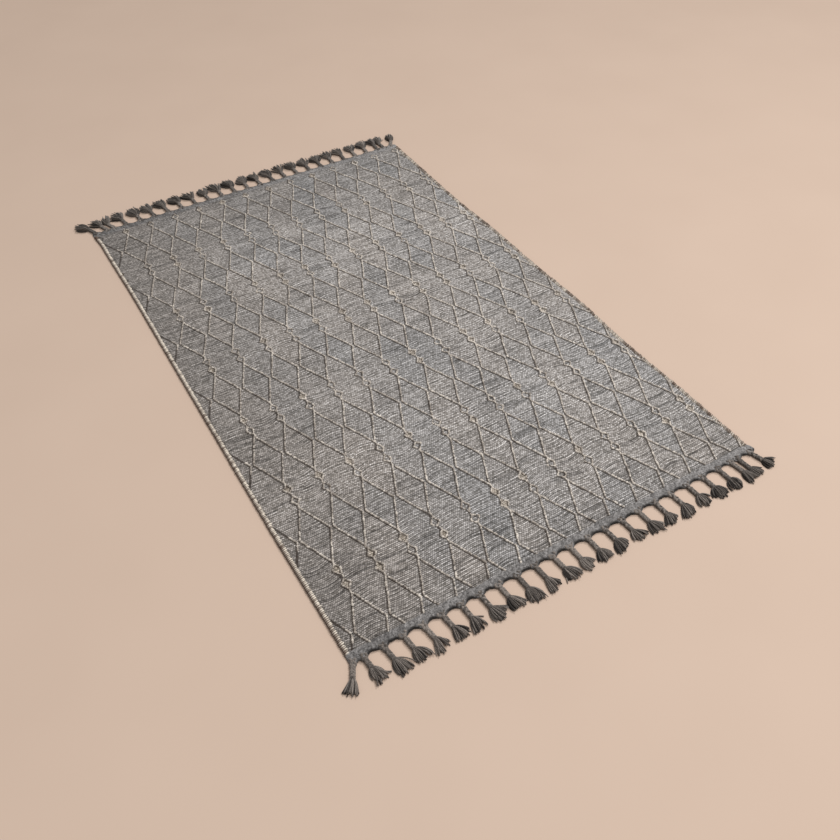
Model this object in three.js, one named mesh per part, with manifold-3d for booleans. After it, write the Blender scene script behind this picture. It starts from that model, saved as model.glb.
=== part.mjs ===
// A flatwoven wool rug: a grey field with a raised lattice of cords, an overcast cord down
// each side, and a plain band with knotted tassels at each end.
// Millimetres. X runs across the rug, Y along it and Z up. The origin is on the floor,
// under the middle of the woven body.
import * as THREE from "three";
import { mergeVertices } from "three/addons/utils/BufferGeometryUtils.js";
import Module from "manifold-3d";

// Woven body
const BODY_WIDTH = 1528;
const BODY_LENGTH = 2460;
const GAP = 0.3;
const SIDE_STEPS = 32;

// How far each side edge stands outside its straight line, at shares of the length
const LEFT_SIDE = [
  { along: 0, out: -7 },
  { along: 0.25, out: -2 },
  { along: 0.75, out: -2 },
  { along: 0.95, out: 4 },
  { along: 1, out: 12 },
];
const RIGHT_SIDE = [
  { along: 0, out: -4 },
  { along: 0.13, out: 0 },
  { along: 0.26, out: -4 },
  { along: 0.38, out: 8 },
  { along: 0.5, out: 2 },
  { along: 0.62, out: 5 },
  { along: 0.75, out: -3 },
  { along: 0.95, out: 6 },
  { along: 1, out: 11 },
];

// Field
const FIELD_THICKNESS = 6;

// Lattice: cords that stand on the field in columns of long and small diamonds
const COLUMN_COUNT = 13;
const COLUMN_PITCH = 114.1;
const FIRST_COLUMN_X = -644.5;
const REPEAT_LENGTH = 359.7;
const FIRST_KISS_Y = -1138;
const CORD_WIDTH = 7;
const CORD_HEIGHT = 3;
const CORD_MARGIN = 2;
const PHANTOM_MARGIN = 14;

// One repeat of a column's right-hand cord. "up" is the distance from the middle of the
// repeat and "side" the distance from the column's axis.
const KISS_SIDE = 52;
const TIP_UP = 60;
const DIAMOND_SIDE = 14;
const DIAMOND_HALF = 20;
const DIAMOND_UP = 28;
const CORD_REPEAT = [
  { up: -REPEAT_LENGTH / 2, side: KISS_SIDE },
  { up: -TIP_UP, side: 0 },
  { up: -DIAMOND_UP - DIAMOND_HALF, side: 0 },
  { up: -DIAMOND_UP, side: DIAMOND_SIDE },
  { up: -DIAMOND_UP + DIAMOND_HALF, side: 0 },
  { up: DIAMOND_UP - DIAMOND_HALF, side: 0 },
  { up: DIAMOND_UP, side: DIAMOND_SIDE },
  { up: DIAMOND_UP + DIAMOND_HALF, side: 0 },
  { up: TIP_UP, side: 0 },
];

// How far the loom's tension has drawn the lattice out of its even layout, at shares of the
// length, along each side edge
const DRIFT = [
  { along: 0, leftX: -2, leftY: -15, rightX: -9, rightY: 12 },
  { along: 0.25, leftX: 0, leftY: -8, rightX: 1, rightY: 13 },
  { along: 0.5, leftX: 0, leftY: 4, rightX: -1, rightY: 9 },
  { along: 0.75, leftX: 4, leftY: -5, rightX: 2, rightY: 2 },
  { along: 1, leftX: 4, leftY: 2, rightX: 16, rightY: -1 },
];

// Overcast side cords, with an eight-sided section that is flat where it lies
const SELVEDGE_WIDTH = 12;
const SELVEDGE_HEIGHT = 9;
const SELVEDGE_SHOULDER = 0.3;
const SELVEDGE_LUMP = 1;

// End bands
const BAND_WIDTH = 30;
const BAND_THICKNESS = 7;
const BAND_SCALLOP = 4;

// Tassels: a corded stem tied at its neck, and a head of four locks that fan out
const STEM_LENGTH = 47;
const STEM_WIDTH = 16;
const STEM_HEIGHT = 10;
const ROOT_DEPTH = 8;
const STEM_WAIST = 13;
const NECK_HEIGHT = 12;
const LOCK_COUNT = 4;
const LOCK_LENGTH = 52;
const LOCK_ROOT_PITCH = 3.6;
const LOCK_ROOT_DEPTH = 5;
const LOCK_FILL = 0.86;
const LOCK_ROOT_HEIGHT = 8;
const LOCK_MIDDLE_HEIGHT = 13;
const LOCK_TIP_HEIGHT = 8;
const LOCK_BULGE = 0.2;
const TOP_SHARE = 0.55;

// Places of the tassels. "root" is X on the band's edge, "lean" how far the whole tassel swings
// to +X, "turn" how many degrees the head bends on towards +X, "stem" and "head" the shares of
// their full lengths, and "fan" the width of the head at its tips.
const EVEN_TASSELS = 20;
const STEM_SWING = 0.04;
const HEAD_SWING = 0.08;
const FAN_SWING = 6;
const LEAN_SWING = 4;
const NEAR_ROW = {
  bow: -12,
  first: { root: -652, lean: 12, turn: 9, head: 1.05, fan: 56 },
  last: { root: 599, lean: 3, turn: 6, head: 0.9, fan: 56 },
};
const FAR_ROW = {
  bow: 8,
  first: { root: -619, lean: -12, turn: -11, head: 1.22, fan: 54 },
  last: { root: 613, lean: 7, turn: -2, head: 1.15, fan: 54 },
};
const NEAR_ENDS = [
  { root: -746, lean: -54, turn: 4, stem: 0.9, head: 1.1, fan: 48 },
  { root: -714, lean: 10, turn: 0, stem: 0.75, head: 1, fan: 44 },
  { root: 655, lean: 13, turn: 2, stem: 1, head: 0.95, fan: 42 },
  { root: 686, lean: 10, turn: 15, stem: 1, head: 0.9, fan: 40 },
  { root: 741, lean: 26, turn: 12, stem: 0.9, head: 0.85, fan: 46 },
];
const FAR_ENDS = [
  { root: -757, lean: -42, turn: -20, stem: 1, head: 1.3, fan: 46 },
  { root: -706, lean: -36, turn: 0, stem: 1, head: 1.15, fan: 46 },
  { root: -674, lean: -38, turn: 18, stem: 1, head: 1.15, fan: 30 },
  { root: 675, lean: 6, turn: 0, stem: 1, head: 1.15, fan: 36 },
  { root: 710, lean: -6, turn: 12, stem: 1, head: 1.15, fan: 36 },
  { root: 748, lean: 60, turn: -18, stem: 1, head: 1.15, fan: 36 },
];

const FIELD_GREY = new THREE.MeshStandardMaterial({ color: 0x8a847f, roughness: 0.95, metalness: 0 });
const CORD_CREAM = new THREE.MeshStandardMaterial({ color: 0xc3b8a6, roughness: 0.95, metalness: 0 });
const YARN_CHARCOAL = new THREE.MeshStandardMaterial({ color: 0x55524f, roughness: 0.95, metalness: 0 });

const wasm = await Module();
wasm.setup();

// A number from -1 to 1 that is always the same for the same seed.
function scatter(seed) {
  const wave = Math.sin(seed * 12.9898) * 43758.5453;
  return 2 * (wave - Math.floor(wave)) - 1;
}

// A closed body through rings of points. Each ring runs left, top, right, bottom as seen
// looking along the run.
function loft(rings) {
  const size = rings[0].length;
  const positions = rings.flat().flatMap((p) => [p.x, p.y, p.z]);
  const index = [];
  for (let r = 0; r < rings.length - 1; r++) {
    for (let k = 0; k < size; k++) {
      const a = r * size + k;
      const b = r * size + ((k + 1) % size);
      index.push(a, b, b + size, a, b + size, a + size);
    }
  }
  const last = (rings.length - 1) * size;
  for (let k = 1; k < size - 1; k++) {
    index.push(0, k + 1, k);
    index.push(last, last + k, last + k + 1);
  }
  const geometry = new THREE.BufferGeometry();
  geometry.setAttribute("position", new THREE.Float32BufferAttribute(positions, 3));
  geometry.setIndex(index);
  return geometry;
}

function solidOf(geometry) {
  const merged = mergeVertices(geometry, 1e-4);
  return new wasm.Manifold(
    new wasm.Mesh({
      numProp: 3,
      vertProperties: new Float32Array(merged.attributes.position.array),
      triVerts: new Uint32Array(merged.index.array),
    }),
  );
}

function joined(solids) {
  return solids.reduce((whole, solid) => whole.add(solid));
}

function geometryOf(solid) {
  const mesh = solid.getMesh();
  const geometry = new THREE.BufferGeometry();
  geometry.setAttribute("position", new THREE.BufferAttribute(mesh.vertProperties, 3));
  geometry.setIndex(new THREE.BufferAttribute(mesh.triVerts, 1));
  return geometry;
}

function meshOf(name, solid, material) {
  const geometry = geometryOf(solid);
  geometry.computeVertexNormals();
  const made = new THREE.Mesh(geometry, material);
  made.name = name;
  return made;
}

// A table's value at a given Y, smoothly between the rows before and after it.
function tableAt(rows, key, y) {
  const along = THREE.MathUtils.clamp(y / BODY_LENGTH + 0.5, 0, 1);
  const next = Math.max(1, rows.findIndex((row) => row.along >= along));
  const before = rows[next - 1];
  const after = rows[next];
  const share = THREE.MathUtils.smoothstep(along, before.along, after.along);
  return THREE.MathUtils.lerp(before[key], after[key], share);
}

// The outer X of the woven body's side at a given Y. side is -1 on the left, 1 on the right.
function sideX(side, y) {
  return side * (BODY_WIDTH / 2 + tableAt(side < 0 ? LEFT_SIDE : RIGHT_SIDE, "out", y));
}

// The same lattice with each point moved by the drift at its place.
function drifted(solid) {
  const geometry = geometryOf(solid);
  const spots = geometry.attributes.position;
  for (let k = 0; k < spots.count; k++) {
    const x = spots.getX(k);
    const y = spots.getY(k);
    const share = x / BODY_WIDTH + 0.5;
    const moveX = THREE.MathUtils.lerp(tableAt(DRIFT, "leftX", y), tableAt(DRIFT, "rightX", y), share);
    const moveY = THREE.MathUtils.lerp(tableAt(DRIFT, "leftY", y), tableAt(DRIFT, "rightY", y), share);
    spots.setXY(k, x + moveX, y + moveY);
  }
  return solidOf(geometry);
}

// Y of each step along the stretch between the two bands.
function sideSteps() {
  const half = BODY_LENGTH / 2 - BAND_WIDTH - GAP;
  const steps = [];
  for (let k = 0; k <= SIDE_STEPS; k++) {
    steps.push(THREE.MathUtils.lerp(-half, half, k / SIDE_STEPS));
  }
  return steps;
}

// A flat slab between the side cords, from its underside to the given height.
function fieldSlab(bottom, top, inset) {
  const rings = sideSteps().map((y, k, all) => {
    const end = k === 0 ? inset : k === all.length - 1 ? -inset : 0;
    const left = sideX(-1, y) + SELVEDGE_WIDTH + GAP + inset;
    const right = sideX(1, y) - SELVEDGE_WIDTH - GAP - inset;
    return [
      new THREE.Vector3(left, y + end, bottom),
      new THREE.Vector3(left, y + end, top),
      new THREE.Vector3(right, y + end, top),
      new THREE.Vector3(right, y + end, bottom),
    ];
  });
  return solidOf(loft(rings));
}

// The route of a column's right-hand cord, along the whole field and past both of its ends.
function cordRoute() {
  const route = [];
  for (let k = -1; FIRST_KISS_Y + (k - 1) * REPEAT_LENGTH < BODY_LENGTH / 2; k++) {
    const middle = FIRST_KISS_Y + (k + 0.5) * REPEAT_LENGTH;
    for (const row of CORD_REPEAT) {
      route.push(new THREE.Vector2(row.side, middle + row.up));
    }
  }
  return route;
}

// A roof-shaped ridge along a route, mitred at its bends, that stands on the field's top.
function ridge(route) {
  const foot = FIELD_THICKNESS;
  const top = FIELD_THICKNESS + CORD_HEIGHT;
  const rings = route.map((point, k) => {
    const before = point.clone().sub(route[Math.max(0, k - 1)]).normalize();
    const after = route[Math.min(route.length - 1, k + 1)].clone().sub(point).normalize();
    const run = before.clone().add(after).normalize();
    const known = before.lengthSq() > 0 ? before : after;
    const reach = CORD_WIDTH / 2 / run.dot(known);
    return [
      new THREE.Vector3(point.x - run.y * reach, point.y + run.x * reach, foot),
      new THREE.Vector3(point.x, point.y, top),
      new THREE.Vector3(point.x + run.y * reach, point.y - run.x * reach, foot),
    ];
  });
  return solidOf(loft(rings));
}

// The right-hand half of a column that stands on X = 0, cut off at its axis.
function columnHalf() {
  const reach = COLUMN_PITCH;
  const box = new THREE.BoxGeometry(reach, 2 * BODY_LENGTH, reach);
  box.deleteAttribute("normal");
  box.deleteAttribute("uv");
  box.translate(reach / 2, 0, 0);
  return ridge(cordRoute()).intersect(solidOf(box));
}

// The same solid moved along X, and turned over to its mirror image when flip is -1.
function placed(solid, x, flip) {
  const geometry = geometryOf(solid);
  geometry.scale(flip, 1, 1).translate(x, 0, 0);
  if (flip < 0) {
    geometry.index.array.reverse();
  }
  return solidOf(geometry);
}

// The field with its lattice. One more column stands on the left side cord, so only the
// tips of its right-hand cord show.
function field() {
  const half = columnHalf();
  const column = half.add(placed(half, 0, -1));
  const columns = [];
  for (let k = 0; k < COLUMN_COUNT; k++) {
    columns.push(placed(column, FIRST_COLUMN_X + k * COLUMN_PITCH, 1));
  }
  const edgeHalf = placed(half, FIRST_COLUMN_X - COLUMN_PITCH, 1);
  const ceiling = FIELD_THICKNESS + 2 * CORD_HEIGHT;
  const allowed = fieldSlab(FIELD_THICKNESS / 2, ceiling, CORD_MARGIN);
  const allowedTips = fieldSlab(FIELD_THICKNESS / 2, ceiling, PHANTOM_MARGIN);
  const lattice = drifted(joined(columns)).intersect(allowed);
  const tips = drifted(edgeHalf).intersect(allowedTips);
  return fieldSlab(0, FIELD_THICKNESS, 0).add(lattice).add(tips);
}

// One side cord. Its outer side is a little lumpy, as the overcasting pulls it in and out.
function selvedge(side) {
  const shoulder = SELVEDGE_HEIGHT * SELVEDGE_SHOULDER;
  const rings = sideSteps().map((y, k) => {
    const lump = SELVEDGE_LUMP * scatter(side * 40 + k);
    const outer = sideX(side, y) + side * lump;
    const inner = sideX(side, y) - side * SELVEDGE_WIDTH;
    const left = Math.min(outer, inner);
    const right = Math.max(outer, inner);
    return [
      new THREE.Vector3(left + shoulder, y, 0),
      new THREE.Vector3(left, y, shoulder),
      new THREE.Vector3(left, y, SELVEDGE_HEIGHT - shoulder),
      new THREE.Vector3(left + shoulder, y, SELVEDGE_HEIGHT),
      new THREE.Vector3(right - shoulder, y, SELVEDGE_HEIGHT),
      new THREE.Vector3(right, y, SELVEDGE_HEIGHT - shoulder),
      new THREE.Vector3(right, y, shoulder),
      new THREE.Vector3(right - shoulder, y, 0),
    ];
  });
  return solidOf(loft(rings));
}

// Every tassel of one end, from left to right. end is -1 at the near end, 1 at the far end.
function tassels(end) {
  const { first, last, bow } = end < 0 ? NEAR_ROW : FAR_ROW;
  const places = [...(end < 0 ? NEAR_ENDS : FAR_ENDS)];
  for (let k = 0; k < EVEN_TASSELS; k++) {
    const share = k / (EVEN_TASSELS - 1);
    const between = (key) => THREE.MathUtils.lerp(first[key], last[key], share);
    places.push({
      root: between("root") + bow * Math.sin(Math.PI * share),
      lean: between("lean") + LEAN_SWING * scatter(end * 100 + k),
      turn: between("turn"),
      stem: 1 + STEM_SWING * scatter(end * 200 + k),
      head: between("head") + HEAD_SWING * scatter(end * 400 + k),
      fan: between("fan") + FAN_SWING * scatter(end * 300 + k),
    });
  }
  return places.sort((a, b) => a.root - b.root);
}

// A four-sided band. Its outer edge arches in between the tassels.
function band(end, places) {
  const edge = (end * BODY_LENGTH) / 2;
  const inner = edge - end * BAND_WIDTH;
  const stations = [{ x: sideX(-1, edge), arch: 0 }];
  places.forEach((place, k) => {
    if (k > 0) {
      stations.push({ x: (places[k - 1].root + place.root) / 2, arch: BAND_SCALLOP });
    }
    stations.push({ x: place.root, arch: 0 });
  });
  stations.push({ x: sideX(1, edge), arch: 0 });
  const rings = stations.map(({ x, arch }) => {
    const outer = edge - end * arch;
    const left = Math.max(outer, inner);
    const right = Math.min(outer, inner);
    return [
      new THREE.Vector3(x, left, 0),
      new THREE.Vector3(x, left, BAND_THICKNESS),
      new THREE.Vector3(x, right, BAND_THICKNESS),
      new THREE.Vector3(x, right, 0),
    ];
  });
  return solidOf(loft(rings));
}

// A strand that lies flat on the floor. Each station has a place, a width and a height.
// sides is 3 for a roof-shaped strand or 4 for one with a flat top.
function strand(stations, sides) {
  const rings = stations.map(({ place, width, height }, k) => {
    const before = stations[Math.max(0, k - 1)].place;
    const after = stations[Math.min(stations.length - 1, k + 1)].place;
    const run = after.clone().sub(before).normalize();
    const across = new THREE.Vector2(-run.y, run.x);
    const at = (share, z) => {
      const point = place.clone().addScaledVector(across, (share * width) / 2);
      return new THREE.Vector3(point.x, point.y, z);
    };
    const crown = sides === 4 ? [at(TOP_SHARE, height), at(-TOP_SHARE, height)] : [at(0, height)];
    return [at(1, 0), ...crown, at(-1, 0)];
  });
  return solidOf(loft(rings));
}

// Places on the floor along a line that starts at a foot and is turned from the rug's length
// by an angle towards +X.
function lineFrom(foot, end, angle) {
  const along = new THREE.Vector2(Math.sin(angle), end * Math.cos(angle));
  const across = new THREE.Vector2(-along.y, along.x);
  return (out, aside) => foot.clone().addScaledVector(along, out).addScaledVector(across, aside);
}

// One tassel: the stem runs out from inside the band to the neck, and the locks start side by
// side in the neck and fan out about the head's own line.
function tassel(end, place) {
  const lean = Math.atan2(place.lean, STEM_LENGTH + LOCK_LENGTH);
  const root = new THREE.Vector2(place.root, (end * BODY_LENGTH) / 2);
  const onStem = lineFrom(root, end, lean);
  const neck = STEM_LENGTH * place.stem;
  const stem = [
    { place: onStem(-ROOT_DEPTH, 0), width: STEM_WIDTH, height: BAND_THICKNESS - 1 },
    { place: onStem(neck / 2, 0), width: STEM_WAIST, height: STEM_HEIGHT },
    { place: onStem(neck, 0), width: STEM_WIDTH, height: NECK_HEIGHT },
  ];
  const parts = [strand(stem, 4)];
  const onHead = lineFrom(onStem(neck, 0), end, lean + THREE.MathUtils.degToRad(place.turn));
  const length = LOCK_LENGTH * place.head;
  const tipPitch = place.fan / LOCK_COUNT;
  const middlePitch = THREE.MathUtils.lerp(LOCK_ROOT_PITCH, tipPitch, 0.5 + LOCK_BULGE);
  for (let k = 0; k < LOCK_COUNT; k++) {
    const seat = k - (LOCK_COUNT - 1) / 2;
    const station = (out, pitch, height) => ({
      place: onHead(out, seat * pitch),
      width: pitch * LOCK_FILL,
      height,
    });
    const lock = [
      station(-LOCK_ROOT_DEPTH, LOCK_ROOT_PITCH, LOCK_ROOT_HEIGHT),
      station(length / 2, middlePitch, LOCK_MIDDLE_HEIGHT),
      station(length, tipPitch, LOCK_TIP_HEIGHT),
    ];
    parts.push(strand(lock, 3));
  }
  return joined(parts);
}

// A band with all of its tassels, which grow out of it.
function fringe(end) {
  const places = tassels(end);
  return joined([band(end, places), ...places.map((place) => tassel(end, place))]);
}

const rug = new THREE.Group();
rug.add(meshOf("field", field(), FIELD_GREY));
rug.add(meshOf("selvedge_left", selvedge(-1), CORD_CREAM));
rug.add(meshOf("selvedge_right", selvedge(1), CORD_CREAM));
rug.add(meshOf("fringe_near", fringe(-1), YARN_CHARCOAL));
rug.add(meshOf("fringe_far", fringe(1), YARN_CHARCOAL));

export default rug;
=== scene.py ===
"""A kilim rug of grey wool, with a raised lattice of cream cords, overcast sides and knotted tassels.

It lies flat on a pale floor. Sizes are in millimetres, as in the part's source, and each mesh is scaled to
metres when it is made.
"""

import math

import bmesh
import bpy
import numpy as np
from mathutils import Euler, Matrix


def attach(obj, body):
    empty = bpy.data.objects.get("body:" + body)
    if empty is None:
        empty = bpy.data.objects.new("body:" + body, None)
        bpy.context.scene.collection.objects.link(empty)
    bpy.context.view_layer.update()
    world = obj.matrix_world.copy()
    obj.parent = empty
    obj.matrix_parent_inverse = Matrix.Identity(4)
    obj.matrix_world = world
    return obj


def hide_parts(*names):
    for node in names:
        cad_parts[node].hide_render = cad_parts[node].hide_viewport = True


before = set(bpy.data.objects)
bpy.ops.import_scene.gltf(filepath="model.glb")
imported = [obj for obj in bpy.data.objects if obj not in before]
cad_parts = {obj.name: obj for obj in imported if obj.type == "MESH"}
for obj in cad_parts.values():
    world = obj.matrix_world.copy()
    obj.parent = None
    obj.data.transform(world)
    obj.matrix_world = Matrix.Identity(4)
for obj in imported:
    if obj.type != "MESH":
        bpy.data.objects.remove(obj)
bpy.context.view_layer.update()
scene = bpy.context.scene
MM = 0.001
UP = np.array((0.0, 0.0, 1.0))
ALONG_RUG = np.array((0.0, 1.0, 0.0))

# Sizes shared with the part's source

BODY_WIDTH = 1528
BODY_LENGTH = 2460
# A side edge's distance outside its straight line, at shares of the length
LEFT_SIDE = ((0, -7), (0.25, -2), (0.75, -2), (0.95, 4), (1, 12))
RIGHT_SIDE = ((0, -4), (0.13, 0), (0.26, -4), (0.38, 8), (0.5, 2), (0.62, 5), (0.75, -3), (0.95, 6), (1, 11))

CLOTH_THICKNESS = 6
CLOTH_END = 1199.7
COLUMN_COUNT = 13
COLUMN_PITCH = 114.1
FIRST_COLUMN_X = -644.5
REPEAT_LENGTH = 359.7
FIRST_KISS_Y = -1138
CORD_REPEAT = (
    (-REPEAT_LENGTH / 2, 52), (-60, 0), (-48, 0), (-28, 14), (-8, 0),
    (8, 0), (28, 14), (48, 0), (60, 0), (REPEAT_LENGTH / 2, 52),
)
LONG_TIP_UP = 60
EDGE_CORD_REACH = 14
# The lattice's drift: share of the length, then x and y at the left edge, then x and y at the right edge
DRIFT = (
    (0, -2, -15, -9, 12), (0.25, 0, -8, 1, 13), (0.5, 0, 4, -1, 9), (0.75, 4, -5, 2, 2), (1, 4, 2, 16, -1),
)

SIDE_CORD_WIDTH = 12
SIDE_CORD_HEIGHT = 9
BAND_WIDTH = 30
BAND_THICKNESS = 7
BAND_END = BODY_LENGTH / 2

STEM_LENGTH = 47
HEAD_LENGTH = 52
EVEN_TASSELS = 20
STEM_SWING = 0.04
HEAD_SWING = 0.08
FAN_SWING = 6
LEAN_SWING = 4
# A tassel is its root, lean, turn, stem, head and fan
NEAR_ROW = {"bow": -12, "first": (-652, 12, 9, 1, 1.05, 56), "last": (599, 3, 6, 1, 0.9, 56)}
FAR_ROW = {"bow": 8, "first": (-619, -12, -11, 1, 1.22, 54), "last": (613, 7, -2, 1, 1.15, 54)}
NEAR_ENDS = (
    (-746, -54, 4, 0.9, 1.1, 48), (-714, 10, 0, 0.75, 1, 44),
    (655, 13, 2, 1, 0.95, 42), (686, 10, 15, 1, 0.9, 40), (741, 26, 12, 0.9, 0.85, 46),
)
FAR_ENDS = (
    (-757, -42, -20, 1, 1.3, 46), (-706, -36, 0, 1, 1.15, 46), (-674, -38, 18, 1, 1.15, 30),
    (675, 6, 0, 1, 1.15, 36), (710, -6, 12, 1, 1.15, 36), (748, 60, -18, 1, 1.15, 36),
)
FRAYED_ROOT = -714


# Plain helpers


def smooth(share):
    share = np.clip(share, 0, 1)
    return share * share * (3 - 2 * share)


def scatter(seed):
    """A fixed draw from -1 to 1, the same as in the part's source."""
    value = math.sin(seed * 12.9898) * 43758.5453
    return 2 * (value - math.floor(value)) - 1


def lumps(x, y, size_x, size_y, seed):
    """Smooth noise from -1 to 1, with lumps of the given size."""
    table = np.random.default_rng(seed).uniform(-1, 1, (97, 97))
    u, v = np.asarray(x) / size_x, np.asarray(y) / size_y
    i, j = np.floor(u).astype(int), np.floor(v).astype(int)
    fu, fv = smooth(u - i), smooth(v - j)
    near = table[i % 97, j % 97] * (1 - fu) + table[(i + 1) % 97, j % 97] * fu
    far = table[i % 97, (j + 1) % 97] * (1 - fu) + table[(i + 1) % 97, (j + 1) % 97] * fu
    return near * (1 - fv) + far * fv


def table_at(rows, y):
    """A table's values at y, smoothly between the rows before and after it."""
    rows = np.array(rows, float)
    along = np.clip(np.asarray(y, float) / BODY_LENGTH + 0.5, 0, 1)
    step = np.clip(np.searchsorted(rows[:, 0], along, "right") - 1, 0, len(rows) - 2)
    share = smooth((along - rows[step, 0]) / (rows[step + 1, 0] - rows[step, 0]))
    return [rows[step, k] + (rows[step + 1, k] - rows[step, k]) * share for k in range(1, rows.shape[1])]


def side_x(side, y):
    """Where the rug's left (-1) or right (1) edge is at y."""
    return side * (BODY_WIDTH / 2 + table_at(LEFT_SIDE if side < 0 else RIGHT_SIDE, y)[0])


def drift(x, y):
    """How far the lattice has moved from its even layout at a place."""
    left_x, left_y, right_x, right_y = table_at(DRIFT, y)
    share = np.asarray(x) / BODY_WIDTH + 0.5
    return left_x + (right_x - left_x) * share, left_y + (right_y - left_y) * share


def unit(vectors):
    return vectors / np.linalg.norm(vectors, axis=-1, keepdims=True)


# Small shapes and their copies


def arrays_of(bm):
    """A small bmesh as arrays: its points, its faces' corners, and each face's number of corners."""
    bm.verts.index_update()
    points = np.array([vert.co[:] for vert in bm.verts])
    corners = np.array([vert.index for face in bm.faces for vert in face.verts])
    sizes = np.array([len(face.verts) for face in bm.faces])
    bm.free()
    return points, corners, sizes


def yarn_shape(rings, sides):
    """A straight closed yarn up +Z, of radius 1, with its rings 1 apart."""
    bm = bmesh.new()
    bmesh.ops.create_cone(
        bm, cap_ends=True, cap_tris=False, segments=sides, radius1=1, radius2=1, depth=rings - 1
    )
    bmesh.ops.translate(bm, verts=bm.verts, vec=(0, 0, (rings - 1) / 2))
    upright = [edge for edge in bm.edges if abs(edge.verts[0].co.z - edge.verts[1].co.z) > 0.5]
    bmesh.ops.subdivide_edges(bm, edges=upright, cuts=rings - 2)
    return arrays_of(bm)


def stitch_shape():
    """The part of a stitch that stands out of the cloth, 2 long along X, 2 wide and about 1.3 high."""
    bm = bmesh.new()
    bmesh.ops.create_uvsphere(bm, u_segments=6, v_segments=4, radius=1)
    bmesh.ops.rotate(bm, verts=bm.verts, matrix=Euler((0, math.pi / 2, 0)).to_matrix())
    everything = bm.verts[:] + bm.edges[:] + bm.faces[:]
    cut = bmesh.ops.bisect_plane(
        bm, geom=everything, plane_co=(0, 0, -0.4), plane_no=(0, 0, -1), clear_outer=True
    )
    painted_rim_shade = [part for part in cut["geom_cut"] if isinstance(part, bmesh.types.BMEdge)]
    bmesh.ops.edgeloop_fill(bm, edges=painted_rim_shade)
    bmesh.ops.recalc_face_normals(bm, faces=bm.faces)
    return arrays_of(bm)


def laid_along(shape, routes, radii, flatten=1.0, reference=UP):
    """Every copy's points when the straight yarn is laid along routes (copies, rings, 3)."""
    points = shape[0]
    ring = np.rint(points[:, 2]).astype(int)
    run = unit(np.gradient(routes, axis=1))
    side = unit(np.cross(reference, run))
    lift = np.cross(run, side)
    across = side[:, ring] * points[:, 0, None] + lift[:, ring] * points[:, 1, None] * flatten
    return routes[:, ring] + radii[:, ring, None] * across


def set_down(shape, places, angles, scales):
    """Every copy's points when the shape is scaled, turned by its angle about +Z and put in its place."""
    points = shape[0][None] * scales[:, None]
    cos, sin = np.cos(angles)[:, None], np.sin(angles)[:, None]
    x = points[..., 0] * cos - points[..., 1] * sin
    y = points[..., 0] * sin + points[..., 1] * cos
    return np.stack((x, y, points[..., 2]), axis=-1) + places[:, None]


def joined_mesh(name, parts):
    """One mesh of many copies. A part is a shape, its copies' points and a tone for each copy or point."""
    spots, loops, starts, tones = [], [], [], []
    for (points, corners, sizes), clouds, tone in parts:
        copies = np.arange(len(clouds))[:, None]
        first_spot = sum(len(done) for done in spots)
        first_loop = sum(len(done) for done in loops)
        loops.append((corners[None] + len(points) * copies).ravel() + first_spot)
        face_starts = np.concatenate(([0], np.cumsum(sizes)[:-1]))
        starts.append((face_starts[None] + len(corners) * copies).ravel() + first_loop)
        spots.append(clouds.reshape(-1, 3) * MM)
        tone = np.asarray(tone, float)
        tones.append(np.broadcast_to(tone[:, None] if tone.ndim == 1 else tone, clouds.shape[:2]).ravel())
    mesh = bpy.data.meshes.new(name)
    spots, loops, starts = np.concatenate(spots), np.concatenate(loops), np.concatenate(starts)
    mesh.vertices.add(len(spots))
    mesh.vertices.foreach_set("co", spots.ravel())
    mesh.loops.add(len(loops))
    mesh.loops.foreach_set("vertex_index", loops)
    mesh.polygons.add(len(starts))
    mesh.polygons.foreach_set("loop_start", starts)
    mesh.update(calc_edges=True)
    add_value(mesh, "tone", np.clip(np.concatenate(tones), 0, 1))
    return mesh


def add_value(mesh, name, values):
    """A number, or a vector, for each point of a mesh."""
    values = np.asarray(values, np.float32)
    if values.ndim == 1:
        mesh.attributes.new(name, "FLOAT", "POINT").data.foreach_set("value", values)
    else:
        mesh.attributes.new(name, "FLOAT_VECTOR", "POINT").data.foreach_set("vector", values.ravel())


def put_piece(name, mesh, material, slot, *nodes):
    piece = bpy.data.objects.new(name, mesh)
    scene.collection.objects.link(piece)
    mesh.materials.append(material)
    mesh.shade_smooth()
    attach(piece, "root")
    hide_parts(*nodes)
    return piece


# Materials


def colour(text):
    """sRGB hex to linear."""
    channels = [int(text[k : k + 2], 16) / 255 for k in (1, 3, 5)]
    return [c / 12.92 if c <= 0.04045 else ((c + 0.055) / 1.055) ** 2.4 for c in channels] + [1]


def add(tree, kind, inputs, output=0, **settings):
    """Adds a node and returns one of its outputs. An input is a value, or an output that is linked to it."""
    node = tree.nodes.new("ShaderNode" + kind)
    for name, value in settings.items():
        setattr(node, name, value)
    for key, value in inputs.items():
        if isinstance(value, bpy.types.NodeSocket):
            tree.links.new(value, node.inputs[key])
        else:
            node.inputs[key].default_value = value
    return node.outputs[output]


def product(tree, factors):
    total = factors[0]
    for factor in factors[1:]:
        total = add(tree, "Math", {0: total, 1: factor}, operation="MULTIPLY")
    return total


def new_material(name, sheen, specular):
    """A matt material, with its tree and its shader."""
    material = bpy.data.materials.new(name)
    material.use_nodes = True
    shader = material.node_tree.nodes["Principled BSDF"]
    shader.inputs["Sheen Weight"].default_value = sheen
    shader.inputs["Sheen Roughness"].default_value = 0.6
    shader.inputs["Specular IOR Level"].default_value = specular
    return material, material.node_tree, shader


def millimetres(tree, scale=(1, 1, 1)):
    place = add(tree, "TexCoord", {}, "Object")
    return add(tree, "Mapping", {"Vector": place, "Scale": [1000 * s for s in scale]})


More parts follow.
